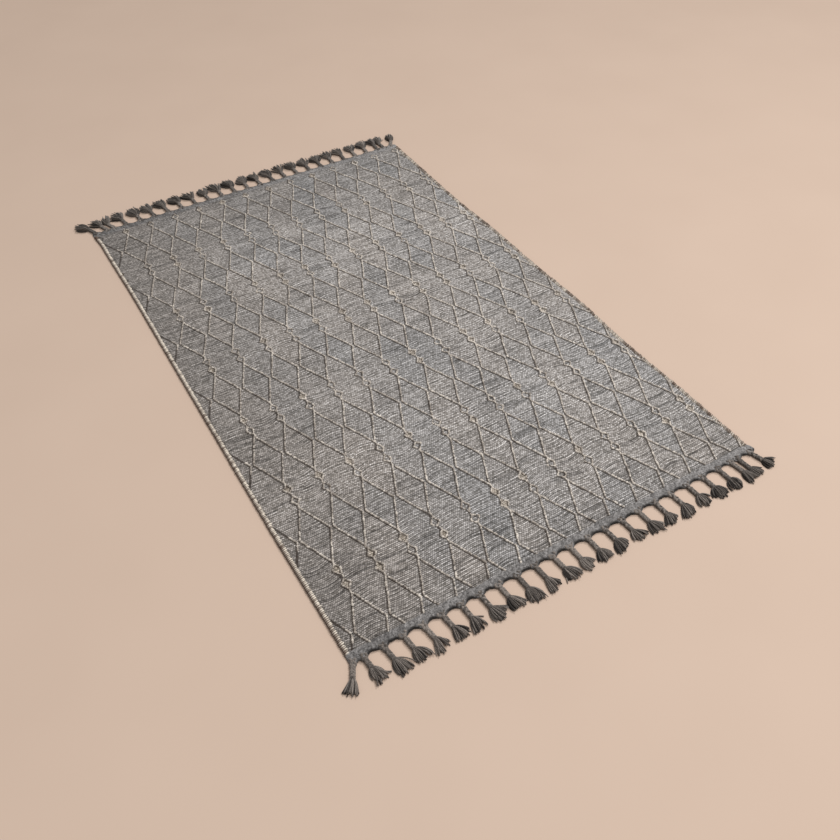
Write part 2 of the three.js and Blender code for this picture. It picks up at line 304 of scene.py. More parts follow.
def streaks(tree, place, length, width, seed, low, high, darkest, lightest):
    """A shade factor from noise stretched along X, from darkest at low to lightest at high."""
    scale = (1 / length, 1 / width, 1)
    stretched = add(tree, "Mapping", {"Vector": place, "Scale": scale, "Location": (seed, 2 * seed, 0)})
    noise = add(tree, "TexNoise", {"Vector": stretched, "Scale": 1, "Detail": 1})
    return add(tree, "MapRange", {0: noise, 1: low, 2: high, 3: darkest, 4: lightest})


def cell_nodes(tree):
    """Which diamond a point is in, and how far it is from the nearest cord, from the cloth's chart."""
    chart = add(tree, "Attribute", {}, "Vector", attribute_name="chart")
    column = add(tree, "SeparateXYZ", {"Vector": chart}, "X")
    turn = column.node.outputs["Y"]
    part = add(tree, "Math", {0: turn}, operation="FRACT")
    reach_curve = add(tree, "FloatCurve", {"Value": part})
    widest = max(side for _, side in CORD_REPEAT)
    stops = [(up / REPEAT_LENGTH + 0.5, side / widest) for up, side in CORD_REPEAT]
    curve = reach_curve.node.mapping.curves[0]
    curve.points[0].location, curve.points[1].location = stops[0], stops[-1]
    for stop in stops[1:-1]:
        curve.points.new(*stop)
    for point in curve.points:
        point.handle_type = "VECTOR"
    reach_curve.node.mapping.update()
    reach = add(tree, "Math", {0: reach_curve, 1: widest}, operation="MULTIPLY")
    nearest = add(tree, "Math", {0: column}, operation="ROUND")
    from_axis = add(tree, "Math", {0: column, 1: nearest}, operation="SUBTRACT")
    across = add(tree, "Math", {0: from_axis, 1: COLUMN_PITCH}, operation="MULTIPLY")
    distance = add(tree, "Math", {0: across}, operation="ABSOLUTE")
    inside = add(tree, "Math", {0: distance, 1: reach}, operation="LESS_THAN")
    nearest_turn = add(tree, "Math", {0: turn}, operation="ROUND")
    left_of = add(tree, "Math", {0: column}, operation="FLOOR")
    below = add(tree, "Math", {0: turn}, operation="FLOOR")
    cell_x = add(tree, "Mix", {0: inside, 2: left_of, 3: nearest})
    cell_y = add(tree, "Mix", {0: inside, 2: below, 3: nearest_turn})
    from_middle = add(tree, "Math", {0: part, 1: 0.5, 2: LONG_TIP_UP / REPEAT_LENGTH}, operation="COMPARE")
    small = add(tree, "Math", {0: from_middle, 1: inside}, operation="MULTIPLY")
    upper = add(tree, "Math", {0: part}, operation="ROUND")
    kind = add(tree, "Math", {0: small, 1: upper, 2: inside}, operation="MULTIPLY_ADD")
    cell = add(tree, "CombineXYZ", {"X": cell_x, "Y": cell_y, "Z": kind})
    across_sign = add(tree, "Math", {0: across}, operation="SIGN")
    cords_side = add(tree, "Math", {0: across_sign, 1: reach}, operation="MULTIPLY")
    from_cord = add(tree, "Math", {0: across, 1: cords_side}, operation="SUBTRACT")
    return cell, small, from_cord


def weft_faced_wool():
    """Weft-faced wool cloth: short floats packed in rows that hide the warps. To the eye it is a matt grey
    melange of fine light and dark dots, in rows that bow between the cords, crossed by long thin furrows,
    with a warm or cool tint for each diamond.
    """
    material, tree, shader = new_material("weft_faced_wool", 0.15, 0.1)
    mm = millimetres(tree)
    sway = add(tree, "Attribute", {}, "Vector", attribute_name="chart")
    sway_z = add(tree, "SeparateXYZ", {"Vector": sway}, "Z")
    rows = add(tree, "VectorMath", {0: mm, 1: add(tree, "CombineXYZ", {"Y": sway_z})}, operation="ADD")

    # Real floats are about 3 x 2 mm. They are drawn 7.6 x 6 mm, because finer ones don't show from here.
    floats = add(
        tree,
        "TexBrick",
        {
            "Vector": rows,
            "Color1": colour("#8a8681"),
            "Color2": colour("#d0ccc9"),
            "Mortar": colour("#332e2b"),
            "Scale": 1,
            "Mortar Size": 1,
            "Mortar Smooth": 0.8,
            "Brick Width": 7.6,
            "Row Height": 6,
        },
        offset=0.5,
    )
    gaps = floats.node.outputs["Fac"]
    fleck_place = add(tree, "Mapping", {"Vector": rows, "Scale": (0.24, 0.3, 0.2)})
    fleck = add(tree, "TexNoise", {"Vector": fleck_place, "Scale": 1, "Detail": 3, "Roughness": 0.7})
    fleck_shade = add(tree, "MapRange", {0: fleck, 1: 0.3, 2: 0.7, 3: 0.84, 4: 1.16})
    # Rows beaten in together show as ribs 11 mm apart that run for a hand's width and then merge.
    rib_place = add(tree, "Mapping", {"Vector": rows, "Scale": (0.3, 1, 1)})
    rib_inputs = {"Vector": rib_place, "Scale": 0.0286, "Distortion": 3.5, "Detail": 1, "Detail Scale": 1.2}
    ribs = add(tree, "TexWave", rib_inputs, "Fac", bands_direction="Y")
    # The ribs are strong in one place and beaten flat in the next.
    rib_low = streaks(tree, rows, 60, 40, 5, 0.35, 0.65, 0.9, 0.5)
    rib_high = add(tree, "MapRange", {0: rib_low, 1: 0.5, 2: 0.9, 3: 1.32, 4: 1.06})
    rib_shade = add(tree, "MapRange", {0: ribs, 3: rib_low, 4: rib_high})
    threads = streaks(tree, rows, 90, 5, 3, 0.3, 0.7, 0.9, 1.1)
    light_threads = streaks(tree, rows, 110, 5, 31, 0.6, 0.76, 1, 1.2)
    dark_threads = streaks(tree, rows, 130, 5, 47, 0.58, 0.7, 1, 0.5)
    shade = add(tree, "Attribute", {}, "Fac", attribute_name="shade")

    cell, small, from_cord = cell_nodes(tree)
    draw = add(tree, "TexWhiteNoise", {"Vector": cell})
    cell_shade = add(tree, "MapRange", {0: draw, 1: 0, 2: 1, 3: 0.95, 4: 1.05})
    # Painted shadow: the cloth is darkened with a dark brown strip beside each cord, on its left and a
    # little under it, where the cord's shadow falls.
    from_shadow_middle = add(tree, "Math", {0: from_cord, 1: 3.2}, operation="ADD")
    cord_shadow_distance = add(tree, "Math", {0: from_shadow_middle}, operation="ABSOLUTE")
    painted_cord_shadow = add(tree, "MapRange", {0: cord_shadow_distance, 1: 2.8, 2: 5.6, 3: 0.78, 4: 0})

    factors = (fleck_shade, rib_shade, threads, light_threads, dark_threads, shade, cell_shade)
    wool = add(tree, "VectorMath", {0: floats, "Scale": product(tree, factors)}, operation="SCALE")
    # Each batch of wool was dyed on its own, so one diamond is warmer than the next.
    other_draw = draw.node.outputs["Color"]
    cell_warmth = add(tree, "SeparateColor", {"Color": other_draw}, "Red")
    # The left side is warmer than the right one.
    x = add(tree, "SeparateXYZ", {"Vector": mm}, "X")
    left_warmth = add(tree, "MapRange", {0: x, 1: -760, 2: -250, 3: 0.9, 4: 0})
    warmth = add(tree, "Math", {0: cell_warmth, 1: left_warmth}, operation="ADD", use_clamp=True)
    batch = add(tree, "Mix", {0: warmth, 6: colour("#b8bdc8"), 7: colour("#cbb6a6")}, 2, data_type="RGBA")
    dyed = add(tree, "Mix", {0: 0.2, 6: wool, 7: batch}, 2, data_type="RGBA", blend_type="OVERLAY")
    # Some of the small diamonds are filled with undyed wool.
    filled = add(tree, "Math", {0: draw, 1: 0.55}, operation="GREATER_THAN")
    filling_share = product(tree, (filled, small, 0.5))
    undyed = add(tree, "VectorMath", {0: floats, 1: (1.25, 1.1, 0.88)}, operation="MULTIPLY")
    filled_wool = add(tree, "Mix", {0: filling_share, 6: dyed, 7: undyed}, 2, data_type="RGBA")
    # The painted shadow beside the cords goes on last, in dark brown.
    final = add(tree, "Mix", {0: painted_cord_shadow, 6: filled_wool, 7: colour("#2b1e15")}, 2, data_type="RGBA")
    tree.links.new(final, shader.inputs["Base Color"])
    height = add(tree, "Math", {0: gaps, 1: -1, 2: fleck}, operation="MULTIPLY_ADD")
    bump = add(tree, "Bump", {"Height": height, "Strength": 0.5, "Distance": 0.001})
    tree.links.new(bump, shader.inputs["Normal"])
    roughness = add(tree, "MapRange", {0: fleck, 3: 0.85, 4: 1})
    tree.links.new(roughness, shader.inputs["Roughness"])
    return material


def spun_wool(name, dark, light, fibre, fuzz_share=0.3):
    """Spun wool yarn, matt and a little fuzzy. Each stitch or yarn has its own tone and fine fibres."""
    material, tree, shader = new_material(name, 0.2, 0.12)
    tone = add(tree, "Attribute", {}, "Fac", attribute_name="tone")
    mm = millimetres(tree, (1 / fibre, 1 / fibre, 1 / fibre))
    fuzz = add(tree, "TexNoise", {"Vector": mm, "Scale": 1, "Detail": 3, "Roughness": 0.65})
    spread = add(tree, "MapRange", {0: fuzz, 1: 0.3, 2: 0.7, 3: 1 - fuzz_share, 4: 1 + fuzz_share})
    shade = add(tree, "Math", {0: tone, 1: spread}, operation="MULTIPLY", use_clamp=True)
    wool = add(tree, "Mix", {0: shade, 6: colour(dark), 7: colour(light)}, 2, data_type="RGBA")
    tree.links.new(wool, shader.inputs["Base Color"])
    bump = add(tree, "Bump", {"Height": fuzz, "Strength": 0.5, "Distance": 0.0008})
    tree.links.new(bump, shader.inputs["Normal"])
    roughness = add(tree, "MapRange", {0: fuzz, 3: 0.85, 4: 1})
    tree.links.new(roughness, shader.inputs["Roughness"])
    return material


CLOTH = weft_faced_wool()
# Undyed wool cord: cream, mixed towards dark brown for the dimmer stitches and for the painted shade towards
# the left.
CREAM_CORD = spun_wool("undyed_wool_cord", "#4c3a2b", "#efe5d9", 3)
# Overcast wool: the same undyed yarn, wrapped tight round the edge.
OVERCAST = spun_wool("overcast_wool_yarn", "#43250f", "#fbf0e0", 3, 0.2)
# Dyed charcoal wool: near black with a warm cast where the yarns are loose.
CHARCOAL = spun_wool("charcoal_wool_yarn", "#1c140f", "#988e86", 3, 0.75)
# The same wool woven tight in the end bands, flecked mid grey; its near black is painted shade along the
# arches' rim and low down.
CHARCOAL_BAND = spun_wool("charcoal_wool_band", "#130c09", "#b0acaa", 4.5, 0.8)


# Camera, light and floor

camera = bpy.data.objects.new("camera", bpy.data.cameras.new("camera"))
camera.location = (-1.1589, -2.3476, 2.1379)
camera.rotation_euler = Euler([math.radians(a) for a in (44.494, 0.828, -30.613)])
camera.data.lens = 36.81
camera.data.sensor_width = 36
camera.data.clip_end = 50
scene.collection.objects.link(camera)
scene.camera = camera

scene.view_settings.view_transform = "Standard"

world = bpy.data.worlds.new("studio")
world.use_nodes = True
world.node_tree.nodes["Background"].inputs["Color"].default_value = (1, 0.985, 0.965, 1)
world.node_tree.nodes["Background"].inputs["Strength"].default_value = 0.373
scene.world = world

sun = bpy.data.objects.new("window", bpy.data.lights.new("window", "SUN"))
sun.data.energy = 1.35
sun.data.angle = math.radians(18)
sun.rotation_euler = Euler((math.radians(-22), math.radians(42), 0))
scene.collection.objects.link(sun)

soft_box = bpy.data.objects.new("soft_box", bpy.data.lights.new("soft_box", "AREA"))
soft_box.data.energy = 281
soft_box.data.shape = "SQUARE"
soft_box.data.size = 3.5
soft_box.location = (2.9, -2.7, 7)
scene.collection.objects.link(soft_box)


def plain_paper():
    """Matt paper backdrop, peach, with a very faint mottle."""
    material, tree, shader = new_material("matt_paper_floor", 0, 0.1)
    mm = millimetres(tree, (0.002, 0.002, 0.002))
    cloud = add(tree, "TexNoise", {"Vector": mm, "Scale": 1, "Detail": 2})
    paper = add(tree, "Mix", {0: cloud, 6: colour("#d1b9a7"), 7: colour("#d7bfad")}, 2, data_type="RGBA")
    tree.links.new(paper, shader.inputs["Base Color"])
    shader.inputs["Roughness"].default_value = 0.95
    return material


def lay_floor():
    bm = bmesh.new()
    bmesh.ops.create_grid(bm, x_segments=1, y_segments=1, size=12)
    bmesh.ops.translate(bm, verts=bm.verts, vec=(0, 0, -0.0003))
    mesh = bpy.data.meshes.new("floor")
    bm.to_mesh(mesh)
    bm.free()
    mesh.materials.append(plain_paper())
    floor = bpy.data.objects.new("floor", mesh)
    scene.collection.objects.link(floor)


lay_floor()

# The field's cloth

CLOTH_COLUMNS = 112
CLOTH_ROWS = 790
CLOTH_TUCK = 1.5
SIDE_TUCK = 4
ROW_BOW = 13
FURROW_WIDTH = 7


def chart_of(x, y):
    """A place in the lattice's own layout, in columns and repeats."""
    even_x, even_y = x, y
    for _ in range(3):
        move_x, move_y = drift(even_x, even_y)
        even_x, even_y = x - move_x, y - move_y
    return (even_x - FIRST_COLUMN_X) / COLUMN_PITCH, (even_y - FIRST_KISS_Y) / REPEAT_LENGTH


def cells_of(column, turn):
    """Each place's diamond as a number, and its place across it, from -1 to 1 at the cords."""
    ups, sides = np.array(CORD_REPEAT).T
    reach = np.interp((turn % 1 - 0.5) * REPEAT_LENGTH, ups, sides)
    across = (column - np.rint(column)) * COLUMN_PITCH
    inside = np.abs(across) < reach
    gap_across = (column - np.floor(column) - 0.5) * COLUMN_PITCH
    gap_reach = COLUMN_PITCH / 2 - reach
    place = np.where(inside, across / np.maximum(reach, 1), gap_across / np.maximum(gap_reach, 1))
    gap_number = np.floor(column) + 31 * np.floor(turn) + 0.5
    number = np.where(inside, np.rint(column) + 31 * np.rint(turn), gap_number)
    width = np.where(inside, reach, gap_reach)
    return number, np.clip(place, -1, 1), width


def draw_for(number, seed):
    """A fixed draw from 0 to 1 for each diamond."""
    value = np.sin(number * 12.9898 + seed * 78.233) * 43758.5453
    return value - np.floor(value)


def cloth_look(x, y):
    """The cloth's relief and shade at each point, and the sway of its rows."""
    column, turn = chart_of(x, y)
    number, place, width = cells_of(column, turn)
    bow = ROW_BOW * (2 * draw_for(number, 1) - 1) * (1 - place**2) * np.clip(width / 57, 0, 1)
    sway = bow + 5 * lumps(x, y, 200, 260, 11)
    row = y + sway + 97 * draw_for(number, 2)
    furrows = lumps(x, row, 165, FURROW_WIDTH, 12)
    leftness = np.clip(0.5 - x / BODY_WIDTH, 0, 1)
    nearness = np.clip(-y / CLOTH_END, 0, 1)
    strength = 0.7 + 0.5 * draw_for(number, 3) + 0.35 * lumps(x, y, 170, 120, 13)
    strength = np.clip(strength + 0.45 * nearness - 0.12 * leftness, 0.2, 1.6)
    grooves = np.clip(-furrows - 0.3, 0, 1) / 0.7
    ridges = np.clip(furrows - 0.4, 0, 1) / 0.6
    relief = strength * (0.4 * furrows - 1.1 * grooves) + 0.35 * lumps(x, y, 60, 80, 14)
    abrash = 1 + 0.04 * lumps(x, y, 700, 130, 15) + 0.06 * lumps(x, y, 160, 60, 16)
    # Painted shade: the cloth is darker towards the left side, most of all at the far left.
    painted_side_shade = np.interp(x, (-760, -300, 300, 760), (0.77, 0.98, 1.1, 1.12))
    end_tone = np.interp(y, (-1200, -600, 0, 600, 1000, 1200), (0.89, 1.06, 0.98, 1.14, 0.86, 0.79))
    painted_side_shade = painted_side_shade * (1 - np.interp(y, (0, 600, 1000), (0, 0.14, 0)) * np.clip(-x / 700, 0, 1))
    near_end = np.clip((np.abs(y) - 1165) / 35, 0, 1)
    # Painted shade and highlight stand for broad soft swells across the rows, strongest at the far end.
    swells = lumps(x, row, 230, 17, 17) * (0.02 + 0.16 * np.clip(y / CLOTH_END + 0.4, 0, 1))
    # Painted shade in the troughs of the furrows, and painted highlight on their ridges and swells.
    tone_and_painted_shade = (1 - 0.48 * strength * grooves) * (1 + 0.12 * ridges) * (1 + swells)
    shade = tone_and_painted_shade * abrash * painted_side_shade * end_tone * (1 - 0.16 * near_end)
    return relief, shade, np.stack((column, turn, sway), axis=-1)


def weave_cloth():
    bm = bmesh.new()
    bmesh.ops.create_grid(bm, x_segments=CLOTH_COLUMNS, y_segments=CLOTH_ROWS, size=0.5)
    spots = np.array([vert.co[:] for vert in bm.verts])
    y = spots[:, 1] * 2 * (CLOTH_END + CLOTH_TUCK)
    left = side_x(-1, y) + SIDE_CORD_WIDTH - SIDE_TUCK
    right = side_x(1, y) - SIDE_CORD_WIDTH + SIDE_TUCK
    x = left + (right - left) * (spots[:, 0] + 0.5)
    z = CLOTH_THICKNESS + cloth_look(x, y)[0]
    for vert, px, py, pz in zip(bm.verts, x * MM, y * MM, z * MM):
        vert.co = (px, py, pz)
    painted_rim_shade = [edge for edge in bm.edges if edge.is_boundary]
    walls = bmesh.ops.extrude_edge_only(bm, edges=painted_rim_shade)["geom"]
    foot = [part for part in walls if isinstance(part, bmesh.types.BMVert)]
    for vert in foot:
        vert.co.z = 0
    low_rim = [part for part in walls if isinstance(part, bmesh.types.BMEdge) and part.is_boundary]
    bmesh.ops.edgeloop_fill(bm, edges=low_rim)
    bmesh.ops.recalc_face_normals(bm, faces=bm.faces)
    mesh = bpy.data.meshes.new("field_cloth")
    bm.to_mesh(mesh)
    bm.free()
    spots = np.array([vert.co[:] for vert in mesh.vertices]) / MM
    _, shade, chart = cloth_look(spots[:, 0], spots[:, 1])
    add_value(mesh, "shade", shade)
    add_value(mesh, "chart", chart)
    return put_piece("field_cloth", mesh, CLOTH, "field_weave", "field")


cloth = weave_cloth()

# The lattice of cords

STITCH = stitch_shape()
CORD_ENDS_AT = 1199
ROPE = {"pitch": 8, "length": 9.2, "width": 6.3, "height": 3.5, "turn": 0.15, "low": 0.45, "high": 1.15}
BEADS = {"pitch": 9.4, "length": 9, "width": 7, "height": 4, "turn": -0.3, "low": 0.45, "high": 1.25}
TIP_WOBBLE = 4.5
CORD_WOBBLE = 1.5


def cord_stretches(column):
    """Every straight stretch of a column's two cords, as its two ends' x and y."""
    axis = FIRST_COLUMN_X + column * COLUMN_PITCH
    for repeat in range(-1, 8):
        middle = FIRST_KISS_Y + (repeat + 0.5) * REPEAT_LENGTH
        for (up0, side0), (up1, side1) in zip(CORD_REPEAT, CORD_REPEAT[1:]):
            for hand in (-1, 1):
                if side0 or side1 or hand > 0:
                    yield axis + hand * side0, middle + up0, axis + hand * side1, middle + up1


def cord_stitches(columns, draw):
    """Places, angles, scales and tones of the stitches along the columns' cords.

    The yarn is always wrapped the same way, so a cord that rises to the right is a smooth rope, and one that
    rises to the left is a row of beads.
    """
    places, angles, scales, tones = [], [], [], []
    for column in columns:
        least_x = FIRST_COLUMN_X + column * COLUMN_PITCH + 52 - (EDGE_CORD_REACH if column < 0 else 1e6)
        for x0, y0, x1, y1 in cord_stretches(column):
            kind = ROPE if x1 >= x0 else BEADS
            length = math.hypot(x1 - x0, y1 - y0)
            wobble = TIP_WOBBLE if length < 30 else CORD_WOBBLE
            count = max(1, round(length / kind["pitch"]))
            heading = math.atan2(y1 - y0, x1 - x0)
            for k in range(count):
                share = (k + 0.5 + 0.16 * draw.normal()) / count
                even_x, even_y = x0 + (x1 - x0) * share, y0 + (y1 - y0) * share
                move_x, move_y = drift(even_x, even_y)
                x, y = even_x + float(move_x), even_y + float(move_y)
                x += wobble * float(lumps(x, y, 19, 21, 21)) + 0.4 * draw.normal()
                y += wobble * float(lumps(x, y, 17, 19, 23))
                size = 1 + 0.15 * draw.normal()
                swing = 0.14 * draw.normal()
                tone_and_painted_shade = 0.8 + 0.2 * float(lumps(x, y, 45, 45, 22))
                # The cords are darker towards the left side, painted shade as on the cloth, and towards the
                # far end.
                painted_side_shade = np.interp(x, (-760, -200, 400), (0.78, 0.97, 1.08))
                tone_and_painted_shade *= painted_side_shade * np.interp(y, (400, 1200), (1, 0.92))
                tone = draw.uniform(kind["low"], kind["high"]) * tone_and_painted_shade * (0.72 if y > 1180 else 1)
                on_cloth = side_x(-1, y) + SIDE_CORD_WIDTH < x < side_x(1, y) - SIDE_CORD_WIDTH
                if abs(y) > CORD_ENDS_AT or not on_cloth or even_x < least_x:
                    continue
                places.append((x, y, CLOTH_THICKNESS))
                angles.append(heading - kind["turn"] + swing)
                scales.append((kind["length"] / 2 * size, kind["width"] / 2 * size, kind["height"]))
                tones.append(tone)
    return np.array(places), np.array(angles), np.array(scales), np.array(tones)


def lay_cords(name, columns, seed):
    places, angles, scales, tones = cord_stitches(columns, np.random.default_rng(seed))
    mesh = joined_mesh(name, [(STITCH, set_down(STITCH, places, angles, scales), tones)])
    return put_piece(name, mesh, CREAM_CORD, "lattice_cord", "field")


cords = [
    lay_cords("lattice_cords_left", range(-1, 4), 31),
    lay_cords("lattice_cords_middle", range(4, 9), 32),
    lay_cords("lattice_cords_right", range(9, COLUMN_COUNT), 33),
]

# Side cords

WRAP_PITCH = 6.4
WRAP_RADIUS = 3.1
WRAP_SLANT = 6
WRAP_INSET = 3
WRAP_YARN = yarn_shape(8, 6)
CORE_YARN = yarn_shape(120, 8)


def overcast_side(name, side, node, seed):
    """A core along the edge, wrapped with slanted turns of yarn that reach a little over the cloth."""
    draw = np.random.default_rng(seed)
    count = int(2 * CLOTH_END / WRAP_PITCH)
    y = np.linspace(-CLOTH_END, CLOTH_END, count) + 0.5 * draw.normal(size=count)
    bite = WRAP_INSET + 0.8 * draw.normal(size=count)
    jag = (1.7 if side > 0 else 0.3) * draw.normal(size=count)
    outer = side_x(side, y) + side * np.minimum(jag, 2)
    inner = side_x(side, y) - side * (SIDE_CORD_WIDTH + bite)
    middle = (outer + inner) / 2
    half_width = np.abs(outer - inner) / 2 - WRAP_RADIUS * 0.55
    half_height = SIDE_CORD_HEIGHT / 2 - WRAP_RADIUS * 0.5 + 0.25 * draw.normal(size=count)
    turn = np.linspace(math.radians(-25), math.radians(215), 8)
    outward = np.cos(turn)[None] * half_width[:, None] * side
    up = SIDE_CORD_HEIGHT / 2 + np.sin(turn)[None] * half_height[:, None]
    along = y[:, None] + WRAP_SLANT * np.linspace(-0.5, 0.5, 8)[None] * side
    routes = np.stack((middle[:, None] - outward, along, up), axis=-1)
    if side < 0:
        routes = routes[:, ::-1]
    radii = np.full((count, 8), WRAP_RADIUS) * (1 + 0.07 * draw.normal(size=(count, 1)))
    wraps = laid_along(WRAP_YARN, routes, radii, 0.72, ALONG_RUG)
    wraps[..., 2] = np.maximum(wraps[..., 2], 0)
    if side < 0:
        stained = draw.random(count) < 0.16
        tone = np.where(stained, draw.uniform(0.25, 0.5, count), draw.uniform(0.6, 1.0, count))
        # The last turns at the far corner are of the dark yarn.
        tone = np.where(y > 1174, 0.14, tone)
    else:
        # The dark yarn takes over from the cream one for a few turns at a time.
        dark_turns = lumps(y, y * 0, 16, 1, seed) + 0.3 * draw.normal(size=count) > 0
        tone = np.where(dark_turns, draw.uniform(0.06, 0.34, count), draw.uniform(0.4, 0.85, count))
    # Painted shade: the outer side of each wrap is darkened, most of all on the left cord.
    outward_share = (wraps[..., 0] - middle[:, None]) * side / (SIDE_CORD_WIDTH / 2)
    painted_outer_shade = np.clip((outward_share + 0.05) / 0.5, 0, 1) * np.clip(2 - wraps[..., 2] / 7, 0, 1)
    core_y = np.linspace(-CLOTH_END, CLOTH_END, 120)
    core_x = side_x(side, core_y) - side * (SIDE_CORD_WIDTH + WRAP_INSET) / 2
    core_route = np.stack((core_x, core_y, np.full(120, SIDE_CORD_HEIGHT / 2)), axis=-1)[None]
    core = laid_along(CORE_YARN, core_route, np.full((1, 120), 5.2), 0.7)
    tone_with_painted_shade = tone[:, None] * (1 - (0.95 if side < 0 else 0.6) * np.clip(painted_outer_shade, 0, 1))
    # The core is near black brown: painted shade that shows in the gaps between the wraps.
    mesh = joined_mesh(name, [(WRAP_YARN, wraps, tone_with_painted_shade), (CORE_YARN, core, [0.1])])
    return put_piece(name, mesh, OVERCAST, "selvedge_cord", node)


side_cords = [
    overcast_side("selvedge_left_cord", -1, "selvedge_left", 41),
    overcast_side("selvedge_right_cord", 1, "selvedge_right", 42),
]

# End bands and tassels

BAND_COLUMNS = 620
BAND_SIDES = 18
BAND_TUCK = 3
ARCH_AT = BAND_END - 2
WEB_REACH = 13
PLY_RINGS = 24
PLY_YARN = yarn_shape(PLY_RINGS, 7)
PLAIT_PITCH = 25
HEAD_RINGS = 8
HEAD_YARN = yarn_shape(HEAD_RINGS, 6)
TIE_RINGS = 14
TIE_YARN = yarn_shape(TIE_RINGS, 5)
CLUMPS = 9
YARNS_IN_CLUMP = 6
TIE_DROP = 5
HEAD_SHARE = 0.93
CORNER_SWEEP = 0.3
CORNER_ROOT = 740
# The near band's right end swells out past the side cord.
END_SWELL = 9


def tassel_row(end, row, ends):
    """Each tassel's root, lean, turn, stem, head and fan, from left to right."""
    tassels = list(ends)
    for k in range(EVEN_TASSELS):
        share = k / (EVEN_TASSELS - 1)
        even = [first + (last - first) * share for first, last in zip(row["first"], row["last"])]
        even[0] += row["bow"] * math.sin(math.pi * share)
        even[1] += LEAN_SWING * scatter(end * 100 + k)
        even[3] += STEM_SWING * scatter(end * 200 + k)
        even[4] += HEAD_SWING * scatter(end * 400 + k)
        even[5] += FAN_SWING * scatter(end * 300 + k)
        tassels.append(tuple(even))
    return sorted(tassels)


def weave_band(name, end, tassels, node, seed):
    """A padded strip whose outer edge arches in between the tassels' roots."""
    roots = np.array([tassel[0] for tassel in tassels])

    def outer_edge(x):
        place = np.clip(np.searchsorted(roots, x), 1, len(roots) - 1)
        gap = roots[place] - roots[place - 1]
        from_root = np.abs(x[:, None] - roots[None]).min(axis=1)
        web = WEB_REACH * np.clip(1 - from_root / 27, 0, 1) ** 1.2 + 1.5 * np.clip(1 - gap / 60, 0, 1)
        return ARCH_AT + web + 1.3 * lumps(x, x * 0, 7, 1, seed)

    bm = bmesh.new()
    bmesh.ops.create_grid(bm, x_segments=BAND_COLUMNS, y_segments=BAND_SIDES, size=0.5)
    spots = np.array([vert.co[:] for vert in bm.verts])
    turn = spots[:, 1] * 2 * math.pi
    inner = BAND_END - BAND_WIDTH - BAND_TUCK
    left, right = side_x(-1, end * inner), side_x(1, end * inner)
    x = left + (right - left) * (spots[:, 0] + 0.5)
    width = outer_edge(x) - inner
    out = (1 + np.sign(np.cos(turn)) * np.abs(np.cos(turn)) ** 0.55) / 2
    rise = np.sign(np.sin(turn)) * np.abs(np.sin(turn)) ** 0.5
    y = inner + width * out
    z = BAND_THICKNESS / 2 + rise * BAND_THICKNESS / 2 + 0.2
    over = rise > 0
    # The warps bunch up in the outer edge, where they turn into the tassels.
    z += np.where(over, 1.6 * smooth((out - 0.45) / 0.4), 0)
    z += np.where(over, 0.6 * lumps(x, y, 8, 5, seed + 1) + 0.5 * lumps(x, y, 40, 9, seed + 2), 0)
    y = y + np.where(rise < -0.2, 0.8 * out**3, 0)
    ends_in = np.clip(np.minimum(x - left, right - x) / 4, 0, 1) ** 0.5
    z = z * (0.55 + 0.45 * ends_in)
    if end < 0:
        x = x + END_SWELL * smooth((x - right + 40) / 40) * smooth(out * 2) * smooth((1.15 - out) * 3)
    for vert, px, py, pz in zip(bm.verts, x * MM, end * y * MM, np.maximum(z, 0) * MM):
        vert.co = (px, py, pz)
    bmesh.ops.remove_doubles(bm, verts=bm.verts, dist=1e-6)
    bmesh.ops.holes_fill(bm, edges=[edge for edge in bm.edges if edge.is_boundary], sides=0)
    bmesh.ops.recalc_face_normals(bm, faces=bm.faces)
    mesh = bpy.data.meshes.new(name)
    bm.to_mesh(mesh)
    bm.free()
    spots = np.array([vert.co[:] for vert in mesh.vertices]) / MM
    sx, sy, sz = spots[:, 0], np.abs(spots[:, 1]), spots[:, 2]
    outward = np.clip((sy - inner) / (ARCH_AT - inner), 0, 1)
    rightward = sx / BODY_WIDTH
    tone = 0.5 - 0.12 * outward**1.6 + (0.28 * rightward - 0.01 if end > 0 else 0.12 * rightward)
    # The yarns in the band slant.
    slanted = sx + 0.8 * (sy - inner)
    tone += 0.26 * lumps(slanted, sy, 5, 16, seed + 3) + 0.07 * lumps(sx, sy, 60, 12, seed + 4)
    # Painted shade: the rim of the arches is near black, less so at the tassels, and the band is darker low
    # down, near the floor.
    from_rim = outer_edge(sx) - sy
    at_arch = np.clip((ARCH_AT + 9 - outer_edge(sx)) / 6, 0.25, 1)
    painted_rim_shade = at_arch * np.clip(1.9 - from_rim / 4, 0, 1)
    tone = tone * (1 - 0.93 * painted_rim_shade) * np.clip((sz - 2) / 2.6, 0, 1)
    add_value(mesh, "tone", np.clip(tone, 0, 1))
    return put_piece(name, mesh, CHARCOAL_BAND, "fringe_yarn", node)


def line_from(foot, end, angle):
    """A place on the floor along and across a line that is turned by an angle towards +X."""
    run = np.array((math.sin(angle), end * math.cos(angle), 0))
    across = np.array((math.cos(angle), -end * math.sin(angle), 0))
    return lambda out, aside: foot + run * out + across * aside


